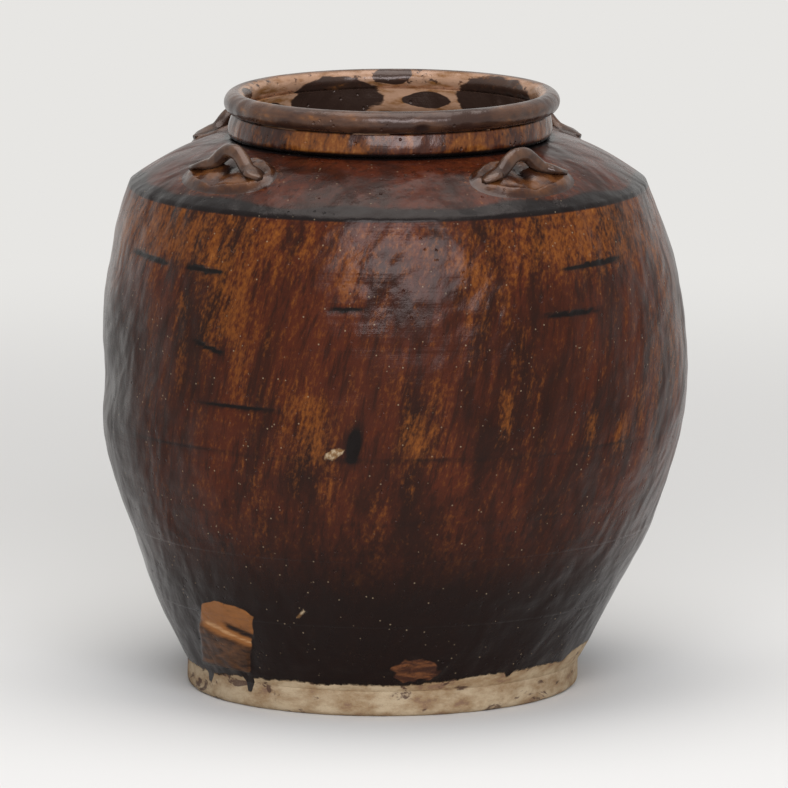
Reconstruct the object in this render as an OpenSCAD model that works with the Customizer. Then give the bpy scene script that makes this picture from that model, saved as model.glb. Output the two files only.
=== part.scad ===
// Stoneware storage jar, built as a potter builds it: a base disc in a foot ring, coil courses
// luted in keyed seams, a shoulder cone, a neck with a spigot, a rolled rim and four looped lugs.
// Millimetres, +Z up, origin on the floor at the middle of the foot. The front is towards -Y.

/* [Foot] */
// Outer radius of the foot ring
foot_r = 184; // [160:1:205]
// Height of the foot ring, where the first wall course starts
foot_h = 24; // [20:1:34]
// Rounding of the foot ring's lower outer edge
foot_edge = 6; // [2:1:9]
// Thickness of the base disc
base_t = 17; // [12:1:19]
// Height of the hollow under the base disc
base_lift = 5; // [3:1:8]
// Width of the ledge that carries the base disc
ledge_w = 10; // [5:1:20]

/* [Wall] */
// Horizontal thickness of the wall
wall_t = 12; // [9:0.5:16]
// Radius of the belly, the widest place
belly_r = 275; // [260:1:300]
// Height of the belly
belly_z = 295; // [250:1:330]
// Radius of the ridge where the wall ends
ridge_r = 242; // [225:1:255]
// Height of the ridge
ridge_z = 476; // [460:1:510]
// How fast the wall spreads as it leaves the foot, radius per height
foot_spread = 0.53; // [0.3:0.01:0.7]
// How fast the wall draws in as it meets the ridge, radius per height
ridge_draw = 0.45; // [0.2:0.01:0.7]
// Depth of the groove that keys one course into the next
key_d = 4; // [2:0.5:6]

/* [Courses] */
// Height of the first coil course, on the foot ring
course_1_h = 66; // [60:1:72]
// Height of the second course
course_2_h = 66; // [60:1:72]
// Height of the third course
course_3_h = 86; // [78:1:94]
// Height of the fourth course, which ends below the belly
course_4_h = 53; // [46:1:60]
// Height of the fifth course
course_5_h = 62; // [56:1:68]
// Height of the sixth course; the seventh fills what is left below the shoulder
course_6_h = 62; // [56:1:68]

/* [Shoulder] */
// Height from the ridge to the seat of the neck
shoulder_rise = 42; // [30:1:60]
// How far the shoulder's cone is crowned above a straight line
shoulder_crown = 7; // [0:0.5:12]
// Vertical thickness of the shoulder
shoulder_t = 13; // [10:0.5:18]
// Height of the wall below the ridge that belongs to the shoulder
ridge_lip = 8; // [5:0.5:14]

/* [Neck] */
// Outer radius of the neck at its waist
neck_r = 147.5; // [140:0.5:156]
// Thickness of the neck's wall at its waist
neck_t = 13.5; // [11:0.5:18]
// How far the collar at the neck's foot swells past the waist
collar_swell = 4.5; // [0:0.5:8]
// Height of the neck above the shoulder
neck_h = 26; // [20:1:40]
// Thickness of the spigot that drops into the shoulder's hole
spigot_t = 7; // [5:0.5:9]

/* [Rim] */
// Diameter of the rolled rim's coil
roll_d = 20.6; // [16:0.2:26]
// How far the roll stands out past the neck's waist
roll_out = 9.8; // [4:0.2:12]
// Depth of the saddle in the neck's top that the roll sits in
saddle_d = 3; // [1.5:0.5:5]

/* [Lugs] */
// Angle of the front left lug from the front, towards the right
front_left_angle = -48; // [-60:1:-35]
// Angle of the front right lug
front_right_angle = 38; // [30:1:60]
// Angle of the back right lug
back_right_angle = 134; // [120:1:150]
// Angle of the back left lug
back_left_angle = 228; // [210:1:240]
// Distance from the ridge in to the arch of a lug
lug_inset = 47; // [38:1:54]
// Distance between the two tips of a lug's coil
lug_span = 98; // [88:1:110]
// Distance between the two feet of the arch
arch_span = 54; // [50:1:66]
// How far the tips of the coil lie further out than the arch
tip_out = 15; // [0:1:20]
// Diameter of the lug's coil
coil_d = 12; // [10:0.5:14]
// Clear height of the cord eye, from the pad to the underside of the arch
eye_h = 8.5; // [7:0.5:14]
// Width of the leaf that each end of the coil is pressed into
leaf_w = 16; // [13:0.5:20]
// Thickness of that leaf
leaf_t = 5; // [4:0.5:8]
// Width of the coil's blunt tip
tip_w = 4; // [3:0.5:8]
// Thickness of the pad of clay under a lug
pad_t = 4; // [3:0.5:6]
// Thickness that is left of the pad in the channel under the arch
channel_floor = 1; // [0.5:0.5:2]
// Radius of the channel that the cord lies in
channel_r = 30; // [20:1:40]
// How far the pad reaches past the coil all round
pad_margin = 7; // [4:1:10]
// Radius of the thumb that pressed the hollow above each foot of the arch
thumb_r = 18; // [12:1:20]
// Depth of the thumb hollows
thumb_d = 3; // [1:0.5:3]

/* [Hidden] */
$fn = 96;

clay = [0.72, 0.60, 0.45];
dark_glaze = [0.16, 0.08, 0.05];
brown_glaze = [0.30, 0.14, 0.07];
worn_glaze = [0.38, 0.22, 0.13];

// Height step of the curved outlines
curve_step = 8;
course_h = [course_1_h, course_2_h, course_3_h, course_4_h, course_5_h, course_6_h];
shoulder_seam_z = ridge_z - ridge_lip;
neck_seat_z = ridge_z + shoulder_rise;
neck_top_z = neck_seat_z + neck_h;
mouth_r = neck_r - neck_t;
spigot_r = mouth_r + spigot_t;
shoulder_land_r = neck_r + 1.5;
roll_r = roll_d / 2;
roll_centre_r = neck_r + roll_out - roll_r;
roll_centre_z = neck_top_z - saddle_d + roll_r;
disc_r = foot_r - wall_t;
lug_r = ridge_r - lug_inset;
coil_rings = 50;
coil_sides = 16;
// Height of the coil's centre above the shoulder, at the crown of the arch and where it lies flat
crown_lift = pad_t + eye_h + coil_d / 2;
flat_lift = pad_t + leaf_t / 4;
// How squarely the arch stands on its feet: 1 is a plain wave, more is a rounder crown
arch_square = 1.25;

// Cubic through two ends with given slopes
function cubic(z, z0, r0, s0, z1, r1, s1) =
    let (h = z1 - z0, t = (z - z0) / h, a = t * t * (3 - 2 * t))
    r0 * (1 - a) + r1 * a + h * s0 * t * pow(1 - t, 2) - h * s1 * t * t * (1 - t);

// Outer radius of the wall at a height
function wall_r(z) =
    z < belly_z ? cubic(z, foot_h, foot_r, foot_spread, belly_z, belly_r, 0)
                : cubic(z, belly_z, belly_r, 0, ridge_z, ridge_r, -ridge_draw);

// Height of the seam on top of the course with this number; the foot ring's top is number 0
function seam_z(i) = i > len(course_h) ? shoulder_seam_z : i < 1 ? foot_h : seam_z(i - 1) + course_h[i - 1];

// Heights from one level to another, ends included
function steps(z0, z1) =
    let (n = max(1, ceil(abs(z1 - z0) / curve_step)))
    [for (i = [0:n]) z0 + (z1 - z0) * i / n];

function outer_line(z0, z1) = [for (z = steps(z0, z1)) [wall_r(z), z]];
function inner_line(z0, z1) = [for (z = steps(z0, z1)) [wall_r(z) - wall_t, z]];

// The bottom of a seam's groove, in the middle of the wall
function key_point(z) = [wall_r(z) - wall_t / 2, z - key_d];

// Outer height of the shoulder at a radius
function shoulder_z(r) =
    let (t = (r - shoulder_land_r) / (ridge_r - shoulder_land_r))
    neck_seat_z - shoulder_rise * t + 4 * shoulder_crown * t * (1 - t);

function shoulder_line(r0, r1, lift, n = 12) =
    [for (i = [0:n]) let (r = r0 + (r1 - r0) * i / n) [r, shoulder_z(r) + lift]];

// One coil course of the wall, keyed into the seam below and grooved for the one above
module wall_course(i) {
    z0 = seam_z(i - 1);
    z1 = seam_z(i);
    color(i < 4 ? dark_glaze : brown_glaze)
        rotate_extrude()
            polygon(concat(outer_line(z0, z1), [key_point(z1)], inner_line(z1, z0), [key_point(z0)]));
}

// The ring that the jar stands on, with a ledge for the base disc
module foot_ring() {
    corner = [for (a = [-90:15:0]) [foot_r - foot_edge * (1 - cos(a)), foot_edge * (1 + sin(a))]];
    color(clay)
        rotate_extrude()
            polygon(concat(corner, [
                [foot_r, foot_h], key_point(foot_h), [disc_r, foot_h],
                [disc_r, base_lift], [disc_r - ledge_w, base_lift], [disc_r - ledge_w, 0]
            ]));
}

// The flat floor of the jar
module base_disc() {
    color(clay)
        translate([0, 0, base_lift])
            cylinder(r = disc_r, h = base_t);
}

// The cone that closes the body in to the neck
module shoulder() {
    inner_r = ridge_r - wall_t;
    color(brown_glaze)
        rotate_extrude()
            polygon(concat(
                outer_line(shoulder_seam_z, ridge_z),
                shoulder_line(ridge_r, shoulder_land_r, 0),
                [[spigot_r, neck_seat_z]],
                shoulder_line(spigot_r, inner_r, -shoulder_t),
                [[wall_r(shoulder_seam_z) - wall_t, shoulder_seam_z], key_point(shoulder_seam_z)]
            ));
}

// The neck: a spigot in the shoulder's hole, a swollen collar, and a saddle for the roll
module neck_collar() {
    side = [for (i = [0:10]) let (u = i / 10)
        [neck_r + collar_swell * sin(180 * pow(u, 0.58)), neck_seat_z + neck_h * u]];
    color(brown_glaze)
        rotate_extrude()
            difference() {
                polygon(concat(side, [
                    [mouth_r, neck_top_z], [mouth_r, neck_seat_z - shoulder_t],
                    [spigot_r, neck_seat_z - shoulder_t], [spigot_r, neck_seat_z]
                ]));
                translate([roll_centre_r, roll_centre_z])
                    circle(r = roll_r);
            }
}

// The rolled rim, one round coil
module rim_roll() {
    color(worn_glaze)
        rotate_extrude()
            translate([roll_centre_r, roll_centre_z])
                circle(r = roll_r);
}

// Solid of everything under the shoulder's outer face, raised by lift
module under_shoulder(lift) {
    r0 = shoulder_land_r;
    rotate_extrude()
        polygon(concat(shoulder_line(ridge_r, r0, lift), [[r0, 0], [ridge_r, 0]]));
}

// Share of the way from the foot of the arch to the tip of the coil, 0 all along the arch
function leaf_share(u) = max(0, (abs(2 * u) - arch_span) / (lug_span - arch_span));
function coil_out(u) = tip_out * pow(2 * u / lug_span, 2);
function coil_lift(u) =
    let (a = min(1, abs(2 * u / arch_span)))
    flat_lift + (crown_lift - flat_lift) * (1 + cos(180 * pow(a, arch_square))) / 2;

// Half the coil's width along the shoulder, round on the arch, swelling to a leaf and then a tip
function half_width(u) =
    let (s = leaf_share(u))
    (coil_d + (tip_w - coil_d) * s * s + (leaf_w - coil_d) * 2 * sin(180 * s)) / 2;
function half_height(u) =
    let (s = leaf_share(u))
    (coil_d + (leaf_t - coil_d) * sin(90 * s)) / 2;

// Centre line of the coil in the lug's own place: across, away from the axis, up
function coil_centre(u) =
    let (r = lug_r + coil_out(u), y = -sqrt(r * r - u * u))
    [u, y, shoulder_z(r) + coil_lift(u)];

// One oval section of the coil, square to its run
function coil_ring(u) =
    let (c = coil_centre(u), d = coil_centre(u + 0.1) - coil_centre(u - 0.1),
         run = d / norm(d), up = cross(run, [0, 1, 0]), n = up / norm(up), m = cross(n, run))
    [for (k = [0:coil_sides - 1]) let (a = 360 * k / coil_sides)
        c + half_height(u) * n * cos(a) + half_width(u) * m * sin(a)];

// The arched coil of a lug as one closed tube
module coil_tube() {
    half = lug_span / 2;
    rings = [for (i = [0:coil_rings]) coil_ring(-half + lug_span * i / coil_rings)];
    points = [for (ring = rings) each ring];
    sides = [for (i = [0:coil_rings - 1]) for (k = [0:coil_sides - 1])
        let (a = i * coil_sides + k, b = i * coil_sides + (k + 1) % coil_sides)
        [a, b, b + coil_sides, a + coil_sides]];
    first = [for (k = [coil_sides - 1:-1:0]) k];
    last = [for (k = [0:coil_sides - 1]) coil_rings * coil_sides + k];
    polyhedron(points = points, faces = concat([first], sides, [last]), convexity = 4);
}

// Upright solid over the outline of a lug's pad
module pad_outline() {
    a = lug_span / 2 + pad_margin;
    b = leaf_w / 2 + tip_out * 3 / 4 + pad_margin;
    translate([0, -lug_r - tip_out / 4, 0])
        linear_extrude(height = neck_top_z)
            polygon([for (t = [0:12:348]) [a * cos(t), b * sin(t)]]);
}

// A straight round channel across a lug, down the slope of the shoulder under the arch
module cord_channel() {
    slope = atan((shoulder_z(lug_r - 1) - shoulder_z(lug_r + 1)) / 2);
    translate([0, -lug_r, shoulder_z(lug_r) + channel_floor])
        rotate([90 + slope, 0, 0])
            translate([0, channel_r, 0])
                cylinder(r = channel_r, h = 4 * coil_d + 2 * tip_out, center = true);
}

// The pad of clay smeared on the shoulder, with a thumb hollow above each foot of the arch
module lug_pad(angle) {
    hollow_u = arch_span / 2 + pad_margin;
    hollow_r = lug_r + coil_out(hollow_u) - coil_d / 2 - pad_margin / 2;
    thumb_z = shoulder_z(hollow_r) + pad_t - thumb_d + thumb_r;
    color(worn_glaze)
        rotate([0, 0, angle])
            difference() {
                intersection() {
                    pad_outline();
                    difference() {
                        under_shoulder(pad_t);
                        under_shoulder(0);
                    }
                }
                cord_channel();
                for (side = [-1, 1])
                    translate([side * hollow_u, -sqrt(pow(hollow_r, 2) - pow(hollow_u, 2)), thumb_z])
                        sphere(r = thumb_r);
            }
}

// The arched coil of a lug, its two ends pressed flat on the pad
module lug_loop(angle) {
    color(worn_glaze)
        rotate([0, 0, angle])
            difference() {
                coil_tube();
                under_shoulder(pad_t);
            }
}

base_disc();
foot_ring();
wall_course(1);  // wall_course_1
wall_course(2);  // wall_course_2
wall_course(3);  // wall_course_3
wall_course(4);  // wall_course_4
wall_course(5);  // wall_course_5
wall_course(6);  // wall_course_6
wall_course(7);  // wall_course_7
shoulder();
neck_collar();
rim_roll();
lug_pad(front_left_angle);  // lug_pad_front_left
lug_pad(front_right_angle);  // lug_pad_front_right
lug_pad(back_right_angle);  // lug_pad_back_right
lug_pad(back_left_angle);  // lug_pad_back_left
lug_loop(front_left_angle);  // lug_loop_front_left
lug_loop(front_right_angle);  // lug_loop_front_right
lug_loop(back_right_angle);  // lug_loop_back_right
lug_loop(back_left_angle);  // lug_loop_back_left
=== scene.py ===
# A glazed stoneware storage jar with a ridged shoulder, four looped lugs and a rolled rim.
# Angles are in degrees from the front, positive to the right, and sizes in millimetres.
import math

import bmesh
import bpy
from mathutils import Matrix, Vector, noise


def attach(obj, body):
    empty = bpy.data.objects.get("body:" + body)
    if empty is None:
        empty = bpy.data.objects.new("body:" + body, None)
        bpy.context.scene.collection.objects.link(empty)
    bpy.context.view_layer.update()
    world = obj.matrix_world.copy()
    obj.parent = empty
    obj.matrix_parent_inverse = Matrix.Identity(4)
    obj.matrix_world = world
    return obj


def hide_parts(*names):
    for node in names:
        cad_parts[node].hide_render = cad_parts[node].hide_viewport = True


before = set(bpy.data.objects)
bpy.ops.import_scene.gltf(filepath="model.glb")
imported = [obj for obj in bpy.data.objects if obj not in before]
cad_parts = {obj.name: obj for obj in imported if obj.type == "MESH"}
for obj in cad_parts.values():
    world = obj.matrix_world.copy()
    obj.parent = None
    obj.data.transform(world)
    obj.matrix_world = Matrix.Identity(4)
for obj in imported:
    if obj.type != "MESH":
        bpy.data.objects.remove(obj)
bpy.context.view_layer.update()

# Sizes of the jar, as the frame's solids have them
FOOT_R = 184.0
FOOT_H = 24.0
FOOT_EDGE = 6.0
LEDGE_W = 10.0
BASE_T = 17.0
BASE_LIFT = 5.0
WALL_T = 12.0
BELLY_R = 275.0
BELLY_Z = 295.0
RIDGE_R = 242.0
RIDGE_Z = 476.0
RIDGE_LIP = 8.0
FOOT_SPREAD = 0.53
RIDGE_DRAW = 0.45
KEY_D = 4.0
COURSE_H = (66.0, 66.0, 86.0, 53.0, 62.0, 62.0)
SHOULDER_RISE = 42.0
SHOULDER_CROWN = 7.0
SHOULDER_T = 13.0
NECK_R = 147.5
NECK_H = 26.0
NECK_T = 13.5
SPIGOT_T = 7.0
COLLAR_SWELL = 4.5
ROLL_R = 10.3
ROLL_CENTRE = (147.0, 551.3)
LUG_R = 195.0
LUG_SPAN = 98.0
ARCH_SPAN = 54.0
TIP_OUT = 15.0
COIL_D = 12.0
EYE_H = 8.5
LEAF_W = 16.0
LEAF_T = 5.0
TIP_W = 4.0
PAD_T = 4.0
PAD_MARGIN = 9.0
LUGS = {"front_left": -48.0, "front_right": 38.0, "back_right": 134.0, "back_left": 228.0}

SHOULDER_SEAM_Z = RIDGE_Z - RIDGE_LIP
NECK_SEAT_Z = RIDGE_Z + SHOULDER_RISE
NECK_TOP_Z = NECK_SEAT_Z + NECK_H
MOUTH_R = NECK_R - NECK_T
SPIGOT_R = MOUTH_R + SPIGOT_T
LAND_R = NECK_R + 1.5
DISC_R = FOOT_R - WALL_T
# A pad's half length and half width, and how far its middle lies outside the coil's radius
PAD_HALF = (LUG_SPAN / 2 + PAD_MARGIN, LEAF_W / 2 + TIP_OUT * 0.75 + PAD_MARGIN)
PAD_OUT = TIP_OUT / 4

# How finely the rings are cut: segments round the jar, steps along an outer and a hidden face
SEGMENTS = 512
STEP = 2.6
HIDDEN_STEP = 12.0
# Edges that turn by more than this stay crisp
SHARP_ANGLE = 38
MM = 0.001
# Radii at which a turn round the jar is measured as a length: wall, foot, and a degree at the rim
WALL_ARC_R = 270
FOOT_ARC_R = 188
RIM_ARC = 2.7
# How much fuller the modelled coil of a lug is than its solid, and how uneven
COIL_SWELL = 1.13
COIL_LUMPS = 0.09


def smooth(t):
    """0 to 1 with soft ends."""
    t = min(1.0, max(0.0, t))
    return t * t * (3 - 2 * t)


def bell(x, width):
    """1 at x = 0, falling off over width."""
    return math.exp(-(x / width) ** 2)


def cubic(z, z0, r0, s0, z1, r1, s1):
    """Radius at z on a curve through two points with a given draw at each."""
    h = z1 - z0
    t = (z - z0) / h
    a = t * t * (3 - 2 * t)
    return r0 * (1 - a) + r1 * a + h * s0 * t * (1 - t) ** 2 - h * s1 * t * t * (1 - t)


def wall_r(z):
    """Outer radius of the true wall."""
    if z < BELLY_Z:
        return cubic(z, FOOT_H, FOOT_R, FOOT_SPREAD, BELLY_Z, BELLY_R, 0)
    return cubic(z, BELLY_Z, BELLY_R, 0, RIDGE_Z, RIDGE_R, -RIDGE_DRAW)


def near_wall_r(z):
    """Outer radius of the wall, held at its ends above and below it."""
    return wall_r(min(max(z, FOOT_H), RIDGE_Z))


def shoulder_z(r):
    """Height of the shoulder's upper face."""
    t = (r - LAND_R) / (RIDGE_R - LAND_R)
    return NECK_SEAT_Z - SHOULDER_RISE * t + 4 * SHOULDER_CROWN * t * (1 - t)


def seam_z(i):
    """Height of the seam above course i."""
    if i > len(COURSE_H):
        return SHOULDER_SEAM_Z
    return FOOT_H + sum(COURSE_H[:i])


def key_point(z):
    """Bottom of the V-shaped key between two courses."""
    return (wall_r(z) - WALL_T / 2, z - KEY_D)


def turn(a, b):
    """Smallest difference between two angles."""
    return (a - b + 180) % 360 - 180


def arc(angle, at, r):
    """Length round the jar from one angle to another at radius r."""
    return math.radians(turn(angle, at)) * r


def round_noise(angle, detail, third):
    """Noise that closes on itself round the jar."""
    a = math.radians(angle)
    return noise.noise(Vector((detail * math.sin(a), detail * math.cos(a), third)))


# The jar leans a little: how far its middle stands to the right, by height
LEAN = ((0, -9.0), (60, -8.0), (160, -2.5), (295, 2.2), (400, 0.5), (476, -3.2), (520, -2.0), (562, 0.3))
# Dents and swellings in the wall: angle, height, reach across and up, depth
DENTS = (
    (-83, 292, 60, 26, -4.5), (-78, 250, 50, 30, 1.8), (-80, 405, 70, 24, -2.0), (84, 430, 60, 30, -2.0),
    (82, 150, 70, 40, 2.0), (-86, 150, 70, 36, -1.8), (78, 320, 60, 40, 1.6), (10, 330, 70, 40, 1.2),
    (-30, 400, 60, 30, -1.4), (35, 250, 70, 50, -1.2), (140, 300, 90, 60, 2.0), (-140, 260, 90, 50, -2.4),
    (180, 380, 80, 40, 1.5), (165, 140, 80, 40, -1.8),
)
# Long cracks that opened in the clay as it dried: middle angle, half width, height, tilt, depth
CRACKS = (
    (-59.5, 8.5, 424, -0.045, 1.6), (-41.5, 5.5, 422, -0.03, 2.2), (46, 10.5, 425, 0.02, 1.3),
    (38, 8.5, 384, 0.0, 1.0), (-38.5, 4.2, 352, -0.25, 1.3), (-32, 11, 300, -0.02, 0.8),
    (-9, 4.5, 395, 0.02, 0.9), (112, 9, 424, 0.03, 1.2), (-128, 8, 384, 0.02, 1.2),
    (160, 10, 300, 0.0, 1.0),
)


def lean_x(z):
    """How far the jar's middle stands to the right at height z."""
    for (z0, x0), (z1, x1) in zip(LEAN, LEAN[1:]):
        if z <= z1:
            return x0 + (x1 - x0) * smooth((z - z0) / (z1 - z0))
    return LEAN[-1][1]


def off_round(angle, z):
    """How far the wall stands out of its true ring at this angle and height."""
    fade = smooth(z / 40) * (1 - 0.75 * smooth((z - 470) / 60))
    out = 1.5 * round_noise(angle, 2.1, z / 95) + 0.55 * round_noise(angle, 7.0, z / 26)
    out += 0.10 * math.sin(z / 3.4 + 2.0 * round_noise(angle, 4.2, z / 47.5))
    for at, height, across, up, depth in DENTS:
        away = arc(angle, at, WALL_ARC_R)
        if abs(away) < 3 * across and abs(z - height) < 3 * up:
            out += depth * bell(away, across) * bell(z - height, up)
    return out * fade


def crack_depth(angle, z):
    """How deep the cracks cut, with a slight lip raised along the upper edge of each."""
    out = 0.0
    for at, half, height, tilt, depth in CRACKS:
        away = turn(angle, at)
        if abs(away) < half and abs(z - height) < 14:
            line = height + tilt * arc(angle, at, WALL_ARC_R)
            line += 1.6 * noise.noise(Vector((away * 0.7, height, 0)))
            share = depth * (1 - (away / half) ** 2)
            out += share * (1.35 * bell(z - line, 2.1) - 0.4 * bell(z - line - 4.5, 3.0))
    return out


# Kiln scars low on the wall, where something stuck in the firing, a burst lump and a scratch
SCAR = {"x": -146.0, "half": 25.0, "top": 104.0, "mid": 76.0, "low": 34.0}
SMALL_SCAR = {"angle": 9.0, "r": 200, "z": 46.0, "across": 27.0, "up": 14.0}
PIT = {"angle": -8.2, "r": 273, "z": 262.0}
SCRATCH = {"angle": -20.5, "r": 228, "z": 102, "half": 8, "thick": 1.6}
# What a field says far outside a scar, and far from the grit
FAR = -30.0
NO_GRIT = -9.0


def scar_place(angle, z):
    """Place on the big scar: across to the right, and up."""
    if abs(turn(angle, 0)) > 100:
        return 99.0, z
    return math.sin(math.radians(angle)) * near_wall_r(z) - SCAR["x"], z


def slit_line(across, up):
    """Height above the slanting slit that parts the big scar in two."""
    return up + 0.30 * (across - 8) - SCAR["mid"] - 2


def scar_fields(angle, z):
    """How far inside the big scar a place is, and its height off the glaze there."""
    across, up = scar_place(angle, z)
    if abs(across) > 60 or up > 130:
        return FAR, 0.0
    corner = 7.0 * smooth((abs(across) - 12) / 14)
    lean = up + 0.10 * across + corner
    half = SCAR["half"] - 1.5 * smooth((SCAR["mid"] - up) / 30)
    wobble = 1.4 * noise.noise(Vector((across / 9, up / 9, 3)))
    edge = min(half - abs(across), SCAR["top"] - lean, up - SCAR["low"]) + wobble
    step = smooth((SCAR["mid"] - 3 - (up + 0.33 * across)) / 5)
    inside = smooth((edge + 1.5) / 4)
    rise = inside * (1.0 + 3.2 * step * (1 - 0.7 * smooth((SCAR["mid"] - up) / 34)))
    slit = bell(slit_line(across, up), 3.2) * smooth((across + 8) / 8) * inside
    return edge, rise - 3.6 * slit


def scar_tone(angle, r, z):
    """Shade on the big scar: 0 in the black slit, 1 on the pale ledge under it."""
    across, up = scar_place(angle, z)
    line = slit_line(across, up)
    tone = 0.62 - 0.34 * smooth(-line / 8) + 0.75 * bell(line + 6.0, 3.6) * smooth((across + 26) / 10)
    return tone * (1 - bell(line, 3.4) * smooth((across + 6) / 8))


def small_scar_fields(angle, z):
    """The same for the small blistered scar."""
    across = arc(angle, SMALL_SCAR["angle"], SMALL_SCAR["r"])
    up = z - SMALL_SCAR["z"]
    if abs(across) > 50 or abs(up) > 30:
        return FAR, 0.0
    wobble = 3.0 * noise.noise(Vector((across / 8, up / 6, 9)))
    edge = (1 - math.hypot(across / SMALL_SCAR["across"], up / SMALL_SCAR["up"])) * 12 + wobble
    lumps = 1.2 * noise.noise(Vector((across / 7, up / 7, 2)))
    return edge, (1.6 + lumps) * smooth((edge + 2) / 5)


def pit_fields(angle, z):
    """The burst lump: how deep its dark hollow is, and how far inside the grit beside it."""
    across = arc(angle, PIT["angle"], PIT["r"])
    up = z - PIT["z"]
    if abs(across) > 60 or abs(up) > 60:
        return 0.0, NO_GRIT
    hollow = 3.4 * math.exp(-((across - 1 - 0.12 * up) / 6.5) ** 2 - ((up - 8) / 16) ** 2)
    ragged = 0.5 * noise.noise(Vector((across / 4, up / 4, 1)))
    blob = 1 - math.hypot((across + 16) / 9, (up - 0.35 * (across + 16)) / 5.5) + ragged
    return hollow - 2.4 * smooth(blob * 1.5), blob * 7


def shift_out(angle, z):
    """How far the outer face of the wall stands off the true ring, with every mark on it."""
    out = off_round(angle, z) - crack_depth(angle, z)
    out += scar_fields(angle, z)[1] + small_scar_fields(angle, z)[1] - pit_fields(angle, z)[0]
    return out


def dense(points, step):
    """The closed section with a point at least every step along its sides."""
    out = []
    for (r0, z0), (r1, z1) in zip(points, points[1:] + points[:1]):
        n = max(1, round(math.hypot(r1 - r0, z1 - z0) / step))
        out += [(r0 + (r1 - r0) * k / n, z0 + (z1 - z0) * k / n) for k in range(n)]
    return out


def spun_ring(name, section, step=HIDDEN_STEP):
    """A closed ring: the section stands in the XZ plane and is spun a full turn."""
    bm = bmesh.new()
    corners = [bm.verts.new((r * MM, 0, z * MM)) for r, z in dense(section, step)]
    edges = [bm.edges.new((a, b)) for a, b in zip(corners, corners[1:] + corners[:1])]
    bmesh.ops.spin(bm, geom=corners + edges, cent=(0, 0, 0), axis=(0, 0, 1), angle=math.tau,
                   steps=SEGMENTS, use_merge=True, use_duplicate=False)
    bmesh.ops.remove_doubles(bm, verts=bm.verts, dist=1e-6)
    bmesh.ops.recalc_face_normals(bm, faces=bm.faces)
    return finish_mesh(name, bm)


def finish_mesh(name, bm):
    """A smooth-shaded object from a bmesh, with its true edges kept sharp."""
    mesh = bpy.data.meshes.new(name)
    bm.to_mesh(mesh)
    bm.free()
    mesh.polygons.foreach_set("use_smooth", [True] * len(mesh.polygons))
    mesh.set_sharp_from_angle(angle=math.radians(SHARP_ANGLE))
    piece = bpy.data.objects.new(name, mesh)
    bpy.context.scene.collection.objects.link(piece)
    return piece


def place_of(co):
    """Angle, radius and height of a point given in metres."""
    x, y, z = co.x / MM, co.y / MM, co.z / MM
    return math.degrees(math.atan2(x, -y)), math.hypot(x, y), z


def own_height(r, z):
    return z


def shape_by_hand(piece, amount, height=own_height):
    """Pushes each vertex out by amount(angle, r, z), and sideways as the jar leans there."""
    for v in piece.data.vertices:
        angle, r, z = place_of(v.co)
        scale = (r + amount(angle, r, z)) / max(r, 1e-6)
        v.co.x = v.co.x * scale + lean_x(height(r, z)) * MM
        v.co.y *= scale
    piece.data.update()


def paint(piece, name, field):
    """Keeps a value at each vertex: field(angle, r, z) before the jar's lean."""
    layer = piece.data.attributes.new(name, "FLOAT", "POINT")
    values = []
    for v in piece.data.vertices:
        x = v.co.x - lean_x(v.co.z / MM) * MM
        values.append(field(*place_of(Vector((x, v.co.y, v.co.z)))))
    layer.data.foreach_set("value", values)


def outline(z0, z1, inset=0.0, step=HIDDEN_STEP):
    """Points along the wall's profile from one height to another."""
    n = max(1, math.ceil(abs(z1 - z0) / step))
    return [(wall_r(z0 + (z1 - z0) * k / n) - inset, z0 + (z1 - z0) * k / n) for k in range(n + 1)]


def wall_amount(angle, r, z):
    """The outer face follows every mark, the inner face only the broad shape."""
    inner = smooth((near_wall_r(z) - r) / (WALL_T * 0.6))
    if inner > 0.99:
        return off_round(angle, z)
    return shift_out(angle, z) * (1 - inner) + off_round(angle, z) * inner


def make_wall_course(i):
    """One coil-built ring of the wall, keyed to the rings above and below it."""
    z0, z1 = seam_z(i - 1), seam_z(i)
    section = outline(z0, z1, 0, STEP) + [key_point(z1)] + outline(z1, z0, WALL_T) + [key_point(z0)]
    piece = spun_ring(f"glazed_wall_{i}", section)
    shape_by_hand(piece, wall_amount)
    return piece


def shoulder_line(r0, r1, lift, n=12):
    """Points along the shoulder from one radius to another."""
    return [(r0 + (r1 - r0) * k / n, shoulder_z(r0 + (r1 - r0) * k / n) + lift) for k in range(n + 1)]


def broad_amount(angle, r, z):
    """A ring that only follows the broad shape."""
    return off_round(angle, z)


def make_shoulder():
    seam = SHOULDER_SEAM_Z
    section = outline(seam, RIDGE_Z, step=2.0)
    section += shoulder_line(RIDGE_R, LAND_R, 0, 42)[1:]
    section += [(SPIGOT_R, NECK_SEAT_Z)]
    section += shoulder_line(SPIGOT_R, RIDGE_R - WALL_T, -SHOULDER_T)
    section += [(wall_r(seam) - WALL_T, seam), key_point(seam)]
    piece = spun_ring("glazed_shoulder", section)
    shape_by_hand(piece, broad_amount)
    return piece


def roll_points(start, end, n):
    """Points along the roll's round section."""
    cr, cz = ROLL_CENTRE
    turns = [start + (end - start) * k / n for k in range(n + 1)]
    return [(cr + ROLL_R * math.cos(t), cz + ROLL_R * math.sin(t)) for t in turns]


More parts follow.
